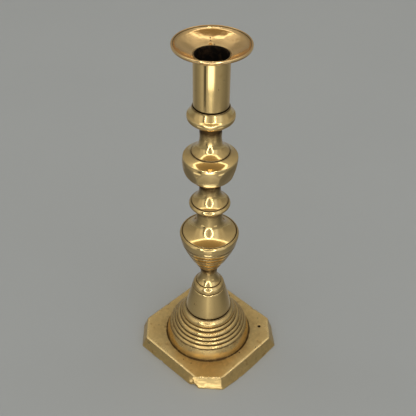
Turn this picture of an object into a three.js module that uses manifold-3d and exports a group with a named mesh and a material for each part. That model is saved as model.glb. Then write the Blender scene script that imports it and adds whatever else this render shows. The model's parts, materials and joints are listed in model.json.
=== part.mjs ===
// A brass push-up candlestick. A square foot with canted corners carries a ringed dome, a stem of turned
// sections that plug into each other, and a candle socket with a drip pan. A rod runs down the hollow stem:
// pressing the button under the foot lifts the disc in the socket and pushes the candle stub out.
// Millimetres, +Z up, standing on z = 0, with the stem's axis on Z and the foot's sides along X and Y.
import * as THREE from 'three';
import { ConvexGeometry } from 'three/addons/geometries/ConvexGeometry.js';
import { mergeVertices } from 'three/addons/utils/BufferGeometryUtils.js';
import Module from 'manifold-3d';

const wasm = await Module();
wasm.setup();

// ---------- driving dimensions ----------
const GAP = 0.3;             // clearance between two fixed pieces
const SIDES = 32;            // facets round a turned piece
const SIDES_SMALL = 16;      // facets round the push rod and its button

// The foot is a rough square with canted corners. Its sides lean in and aren't quite straight or equal.
const FOOT_HEIGHT = 10.1;
const FOOT_BOTTOM = [
  [45, -29.5], [46.8, -14], [47, 4], [45.4, 31.2], [30.2, 44.6],
  [-29.9, 44.8], [-45.4, 29.9], [-47, 0], [-45.4, -29.5], [-30.2, -44.8], [28.4, -43.9],
];
const FOOT_TOP = [
  [41.6, -28.2], [42, 0], [41.7, 27.6], [27.4, 42.3],
  [-28.8, 42.4], [-42.4, 28.8], [-42.5, -26.9], [-28.2, -41.5], [28, -41.3],
];
const HOLLOW_BOTTOM = { half: 41, cant: 13 };
const HOLLOW_TOP = { half: 37.6, cant: 11.1 };
const FOOT_PLATE = 2.7;      // thickness of the foot's top plate

const DOME_BOTTOM_R = 32.8;
const DOME_TOP_R = 18.2;
const DOME_TOP = 38.9;
const DOME_WALL = 3;
const BOSS_R = 11;           // thickened ring under the dome's top that holds the stem
const BOSS_BOTTOM = 30.4;

const SPIGOT_R = 4.4;        // plug on top of each stem section
const SPIGOT_LENGTH = 9;
const FOOT_SPIGOT_R = 7;     // larger plug that goes down through the dome's top
const BORE_R = 3;            // passage for the push rod
const GUIDE_R = 2.1;         // close guide for the rod in the socket's floor

// heights where one stem section ends and the next begins
const CONE_TOP = 82.3;
const VASE_TOP = 139.4;
const LOWER_KNOP_TOP = 160.6;
const FACETED_KNOP_TOP = 204.8;
const TOP_KNOP_TOP = 218.5;

const SOCKET_BORE_R = 10.2;  // takes a 20 mm (about 3/4 in) candle
const SOCKET_MOUTH_R = 10.8; // the bore's eased edge
const SOCKET_R = 11.4;
const SOCKET_TOP = 252.8;
const SOCKET_FLOOR = 2;

const PAN_R = 24.3;
const PAN_TOP = 260;
const PAN_SHEET = 1.5;

const DISC_R = 9.7;
const DISC_THICKNESS = 1.2;
const ROD_R = 1.75;
const ROD_TENON_R = 1.2;     // thin end of the rod, peened into the disc
const BUTTON_R = 8.5;
const BUTTON_BOTTOM = 3;
const BUTTON_TOP = 9;

// The knop's flats are filed by hand. Each has its direction and its lean in towards the bottom, in
// degrees, and its distance from the axis at FLAT_TOP.
const FLAT_TOP = 178.7;
const FLATS = [
  [-3, 15, 18.5], [42, 15, 18.2], [87, 15, 18.4], [132, 14, 18.2],
  [177, 15, 18.5], [222, 7, 18.9], [265, 11, 18.7], [312, 15, 18.8],
];

// ---------- materials ----------
const brass = new THREE.MeshStandardMaterial({ color: 0xb08d4c, roughness: 0.25, metalness: 1 });
const dullBrass = new THREE.MeshStandardMaterial({ color: 0x8f7440, roughness: 0.5, metalness: 1 });
const steel = new THREE.MeshStandardMaterial({ color: 0x8c8c8a, roughness: 0.45, metalness: 1 });

// ---------- outlines and solids ----------
// An outline in radius and height. line() goes straight; bow() curves to the next point, with its
// middle pushed out by depth, or in where depth is negative.
class Outline {
  constructor(r, z) {
    this.points = [new THREE.Vector2(r, z)];
  }

  get pen() {
    return this.points[this.points.length - 1];
  }

  line(r, z) {
    this.points.push(new THREE.Vector2(r, z));
    return this;
  }

  bow(r, z, depth, steps = 3) {
    const end = new THREE.Vector2(r, z);
    const along = end.clone().sub(this.pen).normalize();
    const middle = this.pen.clone().add(end).multiplyScalar(0.5);
    const control = middle.add(new THREE.Vector2(along.y, -along.x).multiplyScalar(2 * depth));
    const curve = new THREE.QuadraticBezierCurve(this.pen.clone(), control, end);
    this.points.push(...curve.getPoints(steps).slice(1));
    return this;
  }

  close() {
    return this.line(this.points[0].x, this.points[0].y);
  }
}

function turned(outline, sides = SIDES) {
  const geometry = new THREE.LatheGeometry(outline.points, sides);
  geometry.rotateX(Math.PI / 2);
  return geometry;
}

function solid(geometry) {
  const bare = geometry.clone();
  bare.deleteAttribute('normal');
  bare.deleteAttribute('uv');
  const merged = mergeVertices(bare, 1e-4);
  return new wasm.Manifold(new wasm.Mesh({
    numProp: 3,
    vertProperties: new Float32Array(merged.attributes.position.array),
    triVerts: new Uint32Array(merged.index.array),
  }));
}

function geometryOf(manifold) {
  const mesh = manifold.getMesh();
  const geometry = new THREE.BufferGeometry();
  geometry.setAttribute('position', new THREE.BufferAttribute(new Float32Array(mesh.vertProperties), 3));
  geometry.setIndex(new THREE.BufferAttribute(new Uint32Array(mesh.triVerts), 1));
  geometry.computeVertexNormals();
  return geometry;
}

// A block between a lower and an upper outline, both convex.
function block(bottom, z0, top, z1) {
  const corners = [...bottom.map(([x, y]) => [x, y, z0]), ...top.map(([x, y]) => [x, y, z1])];
  return new ConvexGeometry(corners.map((c) => new THREE.Vector3(...c)));
}

// The corners of a square with canted corners.
function cantedSquare({ half, cant }) {
  const near = half - cant;
  return [-1, 1].flatMap((sx) => [-1, 1].flatMap((sy) => [
    [sx * half, sy * near],
    [sx * near, sy * half],
  ]));
}

// ---------- base: one hollow casting ----------
function baseCasting() {
  const foot = block(FOOT_BOTTOM, 0, FOOT_TOP, FOOT_HEIGHT);
  const footHollow = block(
    cantedSquare(HOLLOW_BOTTOM), -1, cantedSquare(HOLLOW_TOP), FOOT_HEIGHT - FOOT_PLATE,
  );

  const dome = turned(new Outline(0, 5)
    .line(DOME_BOTTOM_R, 5)
    .line(DOME_BOTTOM_R, 10.6)
    .bow(30.1, 19.8, 0.25, 2)        // plain band
    .bow(28.1, 22.5, 0.5, 2)         // narrow ring
    .bow(26.2, 25.2, 0.55)           // wide ring
    .bow(24.4, 27.5, 0.5, 2)         // narrow ring
    .bow(21.8, 30.7, 0.8)            // wide ring
    .bow(20.1, 33.4, 0.5, 2)         // narrow ring
    .bow(DOME_TOP_R, 38.3, 0.9)      // wide ring under the lip
    .line(DOME_TOP_R - 0.5, DOME_TOP)
    .line(0, DOME_TOP));
  const domeHollow = turned(new Outline(0, -2)
    .line(DOME_BOTTOM_R - DOME_WALL - 1, -2)
    .line(DOME_BOTTOM_R - DOME_WALL - 1, FOOT_HEIGHT)
    .line(26.8, 19)
    .line(21.3, 26.4)
    .line(17, 31)
    .line(15.4, DOME_TOP - DOME_WALL)
    .line(BOSS_R, DOME_TOP - DOME_WALL)
    .line(BOSS_R, BOSS_BOTTOM)
    .line(FOOT_SPIGOT_R + GAP, BOSS_BOTTOM)
    .line(FOOT_SPIGOT_R + GAP, DOME_TOP + 1)
    .line(0, DOME_TOP + 1));

  return geometryOf(solid(foot).add(solid(dome)).subtract(solid(footHollow)).subtract(solid(domeHollow)));
}

// ---------- stem sections ----------
// The upper end shared by the stem sections: shoulder, plug and the top of the passage.
function plug(outline, top) {
  return outline
    .line(SPIGOT_R, top)
    .line(SPIGOT_R, top + SPIGOT_LENGTH)
    .line(BORE_R, top + SPIGOT_LENGTH);
}

// The lower end: an outline that starts inside the section, goes down the passage and round the
// recess that takes the plug of the section below.
function recess(bottom) {
  const roof = bottom + SPIGOT_LENGTH + GAP;
  return new Outline(BORE_R, roof)
    .line(SPIGOT_R + GAP, roof)
    .line(SPIGOT_R + GAP, bottom);
}

function stemFoot() {
  const seat = DOME_TOP + GAP;
  const outline = new Outline(BORE_R, BOSS_BOTTOM)
    .line(FOOT_SPIGOT_R, BOSS_BOTTOM)
    .line(FOOT_SPIGOT_R, seat)
    .line(16.3, seat)
    .line(17.3, 40.3)
    .bow(12.5, 60.6, 0.15, 2)        // cone
    .line(11.5, 61.9)
    .bow(9.4, 66.8, 0.8, 3)          // collar
    .line(8.6, 67.3)
    .bow(6.1, 75.5, -0.55, 3)        // hollow neck
    .bow(7, CONE_TOP, -0.15, 2);
  return turned(plug(outline, CONE_TOP)
    .line(BORE_R, 60)
    .line(9, 56)
    .line(12.4, 44)
    .line(BORE_R, 42)
    .close());
}

function vase() {
  const bottom = CONE_TOP + GAP;
  const outline = recess(bottom)
    .line(7.4, bottom)
    .bow(10.3, 88, 0.5, 2)           // foot ring
    .bow(14.35, 95, 0.45, 2)         // ring
    .bow(16.2, 98.8, 0.25, 2)        // ring
    .bow(18.25, 103.5, 0.3, 2)       // ring
    .bow(20.8, 112.8, 0.5, 3)        // flared body
    .bow(19.9, 116.1, 0.6)           // rim
    .line(19.3, 115.9)
    .bow(13, 120.5, -0.3, 2)         // shoulder
    .bow(9.35, 129.5, -1, 4)
    .line(9.1, 134)
    .line(9, VASE_TOP);
  return turned(plug(outline, VASE_TOP)
    .line(BORE_R, 128)
    .line(8, 123)
    .line(14.5, 114)
    .line(9, 99)
    .line(BORE_R, 95)
    .close());
}

function lowerKnop() {
  const bottom = VASE_TOP + GAP;
  const outline = recess(bottom)
    .line(13.1, bottom)
    .bow(13.4, 143.3, 1.1)           // rim
    .line(12.7, 143.9)
    .line(11, 145.2)
    .bow(7.4, 152.5, -0.7, 4)        // hollow bell
    .line(7.5, LOWER_KNOP_TOP);
  return turned(plug(outline, LOWER_KNOP_TOP).close());
}

// The faceted knop is turned first, then flats are cut round its belly.
function facetedKnop() {
  const bottom = LOWER_KNOP_TOP + GAP;
  const outline = recess(bottom)
    .line(8, bottom)
    .bow(16.8, 168, 1, 3)            // belly
    .bow(18.4, 175.5, 0.5, 2)
    .bow(18.1, 180.9, 0.2, 2)
    .bow(12.8, 184.6, -0.25, 2)      // shoulder
    .line(9.4, 187.6)
    .bow(7.9, 190.2, -0.2, 2)        // hollow bell
    .bow(7.1, 196, -0.17, 2)
    .line(7.6, FACETED_KNOP_TOP);
  const belly = solid(turned(plug(outline, FACETED_KNOP_TOP).close()));
  return geometryOf(flats().reduce((body, flat) => body.subtract(flat), belly));
}

// Blocks that cut the flats: each flat leans in under the belly and just meets its neighbours.
function flats() {
  const size = 30;
  return FLATS.map(([turn, lean, r]) => {
    const cut = new THREE.BoxGeometry(size, size, size);
    cut.translate(size / 2, 0, 0);
    cut.rotateY(THREE.MathUtils.degToRad(lean));
    cut.translate(r, 0, FLAT_TOP);
    cut.rotateZ(THREE.MathUtils.degToRad(turn));
    return solid(cut);
  });
}

function topKnop() {
  const bottom = FACETED_KNOP_TOP + GAP;
  const outline = recess(bottom)
    .line(9.8, bottom)
    .bow(15.1, 209.4, 0.6, 3)        // undercut
    .bow(15.3, 212.6, 0.25, 2)       // belly
    .line(13.9, 214)
    .bow(11.7, TOP_KNOP_TOP, -0.1, 2);
  return turned(outline
    .line(SPIGOT_R + GAP, TOP_KNOP_TOP)
    .line(SPIGOT_R + GAP, TOP_KNOP_TOP - 4)
    .line(BORE_R, TOP_KNOP_TOP - 4)
    .close());
}

// ---------- candle socket and drip pan ----------
const SOCKET_BOTTOM = TOP_KNOP_TOP + GAP;

function socketTube() {
  const floor = SOCKET_BOTTOM + SOCKET_FLOOR;
  const spigotBottom = TOP_KNOP_TOP - 4 + GAP;
  return turned(new Outline(GUIDE_R, spigotBottom)
    .line(SPIGOT_R, spigotBottom)
    .line(SPIGOT_R, SOCKET_BOTTOM)
    .line(SOCKET_R - 0.4, SOCKET_BOTTOM)
    .line(SOCKET_R, SOCKET_BOTTOM + 0.5)
    .line(SOCKET_R, SOCKET_TOP)
    .line(SOCKET_MOUTH_R, SOCKET_TOP)
    .line(SOCKET_BORE_R, SOCKET_TOP - 1)
    .line(SOCKET_BORE_R, floor)
    .line(GUIDE_R, floor)
    .close());
}

function dripPan() {
  const hole = SOCKET_R + GAP;
  const hub = SOCKET_TOP - 0.2;
  return turned(new Outline(hole, hub - PAN_SHEET)
    .bow(22.9, 257.4, 0.3, 3)        // underside
    .bow(PAN_R - 0.3, PAN_TOP - 0.3, 0.6, 3)
    .line(PAN_R - 0.9, PAN_TOP)
    .line(22.6, 259.2)
    .bow(hole, hub, -0.6, 4)         // dish
    .close());
}

// ---------- push-up mechanism ----------
const DISC_BOTTOM = SOCKET_BOTTOM + SOCKET_FLOOR + GAP;
const DISC_TOP = DISC_BOTTOM + DISC_THICKNESS;

function ejectorDisc() {
  return turned(new Outline(ROD_TENON_R + GAP, DISC_BOTTOM)
    .line(DISC_R, DISC_BOTTOM)
    .line(DISC_R, DISC_TOP)
    .line(ROD_TENON_R + GAP, DISC_TOP)
    .close());
}

function ejectorRod() {
  return turned(new Outline(0, BUTTON_BOTTOM + 1.8)
    .line(ROD_R, BUTTON_BOTTOM + 1.8)
    .line(ROD_R, DISC_BOTTOM - GAP)
    .line(ROD_TENON_R, DISC_BOTTOM - GAP)
    .line(ROD_TENON_R, DISC_TOP - 0.2)
    .line(0, DISC_TOP - 0.2), SIDES_SMALL);
}

function ejectorButton() {
  return turned(new Outline(0, BUTTON_BOTTOM)
    .line(BUTTON_R - 1, BUTTON_BOTTOM)
    .bow(BUTTON_R - 1, BUTTON_BOTTOM + 3, 1, 4)
    .line(4, BUTTON_BOTTOM + 3.6)
    .line(4, BUTTON_TOP)
    .line(ROD_R + GAP, BUTTON_TOP)
    .line(ROD_R + GAP, BUTTON_BOTTOM + 1.5)
    .line(0, BUTTON_BOTTOM + 1.5), SIDES_SMALL);
}

// ---------- assembly ----------
const group = new THREE.Group();

function add(name, geometry, material) {
  const mesh = new THREE.Mesh(geometry, material.clone());
  mesh.name = name;
  group.add(mesh);
}

add('base_casting', baseCasting(), brass);
add('stem_foot', stemFoot(), brass);
add('stem_vase', vase(), brass);
add('lower_knop', lowerKnop(), brass);
add('faceted_knop', facetedKnop(), brass);
add('top_knop', topKnop(), brass);
add('candle_socket', socketTube(), brass);
add('drip_pan', dripPan(), brass);
add('ejector_disc', ejectorDisc(), dullBrass);
add('ejector_rod', ejectorRod(), steel);
add('ejector_button', ejectorButton(), dullBrass);

export default group;
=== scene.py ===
import json
import math

import bpy
import numpy as np
from mathutils import Matrix, Vector, noise


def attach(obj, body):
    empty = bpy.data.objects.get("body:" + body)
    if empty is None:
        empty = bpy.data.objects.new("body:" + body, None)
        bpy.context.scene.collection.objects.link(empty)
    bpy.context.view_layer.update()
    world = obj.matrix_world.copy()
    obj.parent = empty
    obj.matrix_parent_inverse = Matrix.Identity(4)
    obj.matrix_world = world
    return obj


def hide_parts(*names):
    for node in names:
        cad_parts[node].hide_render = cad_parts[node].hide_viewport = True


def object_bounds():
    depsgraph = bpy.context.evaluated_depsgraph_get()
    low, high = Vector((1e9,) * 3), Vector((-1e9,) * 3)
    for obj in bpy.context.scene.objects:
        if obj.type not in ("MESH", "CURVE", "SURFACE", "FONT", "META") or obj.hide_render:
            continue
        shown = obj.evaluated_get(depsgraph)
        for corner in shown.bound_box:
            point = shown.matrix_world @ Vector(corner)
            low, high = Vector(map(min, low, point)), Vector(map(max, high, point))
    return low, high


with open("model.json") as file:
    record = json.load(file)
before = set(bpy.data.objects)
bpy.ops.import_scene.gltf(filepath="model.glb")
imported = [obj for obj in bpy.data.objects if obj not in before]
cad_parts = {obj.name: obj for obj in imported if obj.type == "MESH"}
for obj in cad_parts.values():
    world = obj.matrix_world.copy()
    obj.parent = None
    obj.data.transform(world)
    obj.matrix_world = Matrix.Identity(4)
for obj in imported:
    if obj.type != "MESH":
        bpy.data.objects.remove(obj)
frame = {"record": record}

CAD_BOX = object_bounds()
MM = 0.001
SEGMENTS = 208          # round a turned piece
STEP = 0.45             # mm between the rings of a visible surface


# ---------- outlines in radius and height, millimetres ----------
class Outline:
    """A closed outline. line() and bow() draw to a point as in the CAD source. The corner at the end of a
    stretch is rounded over soft mm, or holds a scribed groove (width, depth)."""

    def __init__(self, r, z, step=STEP):
        self.start = np.array([r, z], float)
        self.pen = self.start
        self.step = step
        self.stretches = []

    def _add(self, points, soft, groove, hidden):
        self.stretches.append({"p": points, "soft": soft, "groove": groove, "hidden": hidden})
        self.pen = points[-1]
        return self

    def line(self, r, z, soft=0.0, groove=None, hidden=False):
        end = np.array([r, z], float)
        n = 1 if hidden else max(1, round(float(np.linalg.norm(end - self.pen)) / self.step))
        t = np.linspace(0, 1, n + 1)[:, None]
        return self._add(self.pen + (end - self.pen) * t, soft, groove, hidden)

    def bow(self, r, z, depth, soft=0.0, groove=None):
        end = np.array([r, z], float)
        along = (end - self.pen) / np.linalg.norm(end - self.pen)
        control = (self.pen + end) / 2 + np.array([along[1], -along[0]]) * 2 * depth
        n = max(4, round(float(np.linalg.norm(end - self.pen)) / self.step))
        t = np.linspace(0, 1, n + 1)[:, None]
        points = (1 - t) ** 2 * self.pen + 2 * t * (1 - t) * control + t * t * end
        return self._add(points, soft, groove, False)

    def inner(self, *points):
        """Straight lines to each (radius, height) in turn, on a side that nobody sees."""
        for r, z in points:
            self.line(r, z, hidden=True)
        return self

    def close(self, hidden=True):
        return self.line(self.start[0], self.start[1], hidden=hidden)

    def rings(self):
        """Rows of radius, height, grime with painted shade (1 in a groove) and wear (1 on a rounded edge)."""
        rows = []
        count = len(self.stretches)
        bites = []
        for s in self.stretches:
            bites.append(s["groove"][0] / 2 if s["groove"] else s["soft"])
        for i, s in enumerate(self.stretches):
            before = bites[i - 1]
            p = trimmed(s["p"], before, bites[i])
            rows += [(r, z, 0.0, 0.0) for r, z in p]
            after = self.stretches[(i + 1) % count]
            corner = s["p"][-1]
            if s["groove"]:
                q = trimmed(after["p"], bites[i], 0)[0]
                across = q - p[-1]
                across = across / max(1e-9, float(np.linalg.norm(across)))
                inward = np.array([-across[1], across[0]])
                floor = corner + inward * s["groove"][1]
                side = 0.25 * s["groove"][0] * across
                rows[-1] = (*rows[-1][:2], 0.5, 0.4)
                rows.append((*(floor - side), 1.0, 0.0))
                rows.append((*(floor + side), 1.0, 0.0))
                rows.append((*q, 0.5, 0.4))
            elif s["soft"]:
                q = trimmed(after["p"], bites[i], 0)[0]
                for t in (0.25, 0.5, 0.75):
                    c = (1 - t) ** 2 * p[-1] + 2 * t * (1 - t) * corner + t * t * q
                    rows.append((*c, 0.0, 1.0))
        kept = [rows[0]]
        for row in rows[1:]:
            if math.hypot(row[0] - kept[-1][0], row[1] - kept[-1][1]) > 0.01:
                kept.append(row)
        while math.hypot(kept[0][0] - kept[-1][0], kept[0][1] - kept[-1][1]) <= 0.01:
            kept.pop()
        kept = np.array(kept)
        # Grime and painted shade fade out round each groove.
        for s in self.stretches:
            if s["groove"]:
                near = np.hypot(*(kept[:, :2] - s["p"][-1]).T) / min(0.9 * s["groove"][0], 1.1)
                kept[:, 2] = np.maximum(kept[:, 2], 0.75 * np.exp(-near ** 2))
        return kept


def trimmed(points, at_start, at_end):
    """A polyline shortened at its two ends, by at most 45 % each."""
    lengths = np.r_[0, np.cumsum(np.linalg.norm(np.diff(points, axis=0), axis=1))]
    total = lengths[-1]
    a, b = min(at_start, 0.45 * total), total - min(at_end, 0.45 * total)
    inner = [p for p, l in zip(points, lengths) if a + 1e-6 < l < b - 1e-6]
    ends = [np.array([np.interp(l, lengths, points[:, k]) for k in (0, 1)]) for l in (a, b)]
    return np.array([ends[0], *inner, ends[1]])


# ---------- meshes ----------
def soft_noise(points, scale, seed):
    """Smooth noise of about -1 to 1 at each point, for points in mm."""
    shift = Vector((seed * 17.3, seed * 5.1, seed * 9.7))
    return np.array([noise.noise(Vector(p) / scale + shift) for p in points])


def build(name, node, grid, grime_and_shade, wear, materials, dark=None):
    """A closed ring of rings as a smooth mesh: grid is rings x sides x 3 in mm. dark picks the faces that
    take the second material, by their middle point."""
    rings, sides = grid.shape[:2]
    index = np.arange(rings * sides).reshape(rings, sides)
    nxt = np.roll(index, -1, axis=0)
    corners = [index, np.roll(index, -1, axis=1), np.roll(nxt, -1, axis=1), nxt]
    quads = np.stack(corners, axis=-1).reshape(-1, 4)
    verts = grid.reshape(-1, 3)
    mesh = bpy.data.meshes.new(name)
    mesh.from_pydata((verts * MM).tolist(), [], quads.tolist())
    for key, values in (("grime_and_shade", grime_and_shade), ("wear", wear)):
        spread = np.repeat(values, sides) if values.ndim == 1 else values.reshape(-1)
        mesh.attributes.new(key, "FLOAT", "POINT").data.foreach_set("value", spread.astype(np.float32))
    mesh.polygons.foreach_set("use_smooth", np.ones(len(quads), bool))
    for m in materials:
        mesh.materials.append(m)
    if dark is not None:
        middle = verts[quads].mean(axis=1)
        mesh.polygons.foreach_set("material_index", dark(middle).astype(np.int32))
    mesh.update()
    obj = bpy.data.objects.new(name, mesh)
    bpy.context.scene.collection.objects.link(obj)
    body = next(b for b, members in frame["record"]["behaviour"]["bodies"].items() if node in members)
    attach(obj, body)
    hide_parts(node)
    return obj


def swept(rows, sides=SEGMENTS, phase=0.0):
    """Grid of a turned piece from outline rows."""
    a = np.linspace(0, 2 * math.pi, sides, endpoint=False) + phase
    r = rows[:, 0][:, None]
    return np.stack([r * np.cos(a), r * np.sin(a), np.repeat(rows[:, 1][:, None], sides, axis=1)], axis=-1)


def uneven(grid, depth, scale, seed, where=None):
    """Pushes a grid's points in and out from the axis by smooth noise, as hand finishing leaves it."""
    flat = grid.reshape(-1, 3)
    push = depth * (soft_noise(flat, scale, seed) + 0.4 * soft_noise(flat, scale / 2.3, seed + 3))
    if where is not None:
        push = push * where(flat)
    r = np.maximum(np.hypot(flat[:, 0], flat[:, 1]), 1e-6)
    flat[:, 0] += push * flat[:, 0] / r
    flat[:, 1] += push * flat[:, 1] / r
    return flat.reshape(grid.shape)


# ---------- the foot: a rough canted square that flows into the turned dome ----------
FOOT_BOTTOM = [(45, -29.5), (46.8, -14), (47, 4), (45.4, 31.2), (30.2, 44.6),
               (-29.9, 44.8), (-45.4, 29.9), (-47, 0), (-45.4, -29.5), (-30.2, -44.8), (28.4, -43.9)]
FOOT_TOP = [(41.6, -28.2), (42, 0), (41.7, 27.6), (27.4, 42.3),
            (-28.8, 42.4), (-42.4, 28.8), (-42.5, -26.9), (-28.2, -41.5), (28, -41.3)]
FOOT_HEIGHT = 10.1
DOME_R = 33.3           # where the flat plate meets the dome
DOME_TOP = 38.9
CORNER_POWER = 230      # how crisp the foot's upright corners are
EDGE = 1.0              # the worn rounding along the top edge
DENT = (28.0, 30.7)     # a punched dent in the plate
# other dents and worn places: centre, radius, how far the surface is pushed
KNOCKS = [((27.2, -43.6, 0.5), 4.2, (-0.6, 2.2, 0.5)), ((25.0, -42.6, 4.5), 2.6, (-0.2, 0.7, 0)),
          ((31.0, -38.9, 9.8), 2.4, (-0.5, 0.5, -0.7)), ((38.5, -31.8, 9.6), 2.0, (-0.5, 0.4, -0.6)),
          ((36.0, -36.5, 2.0), 3.0, (-0.5, 0.5, 0)), ((45.6, -12.0, 1.0), 2.0, (-0.6, 0, 0.3)),
          ((-42.6, -4.5, 9.7), 1.8, (0.9, 0, -0.5)), ((-8.0, -44.0, 1.5), 2.4, (0, 0.7, 0.2)),
          ((12.0, 42.0, 9.6), 1.8, (0, -0.6, -0.3))]
CANT_OUT = 47.6         # the battered front cant starts this far out along the diagonal


def canted(half, cant):
    """The corners of a square of this half width with its corners cut off by cant."""
    near = half - cant
    return [(half, -near), (half, near), (near, half), (-near, half),
            (-half, near), (-half, -near), (-near, -half), (near, -half)]


def foot_angles():
    """Directions round the foot, close together where its corners and the dent are."""
    degrees = list(np.arange(0, 360, 1.2))
    for x, y in FOOT_TOP + FOOT_BOTTOM:
        if abs(abs(x) - abs(y)) < 20:
            degrees += list(math.degrees(math.atan2(y, x)) + np.arange(-2.4, 2.41, 0.3))
    degrees += list(math.degrees(math.atan2(DENT[1], DENT[0])) + np.arange(-3, 3.01, 0.25))
    degrees = np.sort(np.mod(degrees, 360))
    kept = [degrees[0]]
    for d in degrees[1:]:
        if d - kept[-1] > 0.14:
            kept.append(d)
    return np.radians(kept)


def corner_ring(corners, z, angles, inset=0.0):
    """The points where rays from the axis meet a convex outline whose corners are slightly rounded."""
    p = np.array(corners, float)
    q = np.roll(p, -1, axis=0)
    normal = np.stack([q[:, 1] - p[:, 1], p[:, 0] - q[:, 0]], axis=1)
    normal /= np.linalg.norm(normal, axis=1)[:, None]
    distance = (normal * p).sum(axis=1) - inset
    u = np.stack([np.cos(angles), np.sin(angles)])
    share = np.maximum(normal @ u, 0) / distance[:, None]
    top = share.max(axis=0)
    r = 1 / (top * ((share / top) ** CORNER_POWER).sum(axis=0) ** (1 / CORNER_POWER))
    return np.stack([r * u[0], r * u[1], np.full(len(angles), float(z))], axis=1)


def level_ring(r, z, angles):
    return np.stack([r * np.cos(angles), r * np.sin(angles), np.full(len(angles), z)], axis=1)


def pressed(grid, centre, radius, push):
    """Moves the points within radius of centre by push, fading out smoothly."""
    flat = grid.reshape(-1, 3)
    far = np.linalg.norm(flat - np.array(centre, float), axis=1) / radius
    flat += np.array(push, float) * (np.clip(1 - far ** 2, 0, 1) ** 1.5)[:, None]


def foot_reach(angles, ring):
    """Angle and distance from the axis of the points of a ring, in order of angle."""
    turn = np.arctan2(ring[:, 1], ring[:, 0])
    order = np.argsort(turn)
    return turn[order], np.hypot(ring[order, 0], ring[order, 1])


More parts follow.
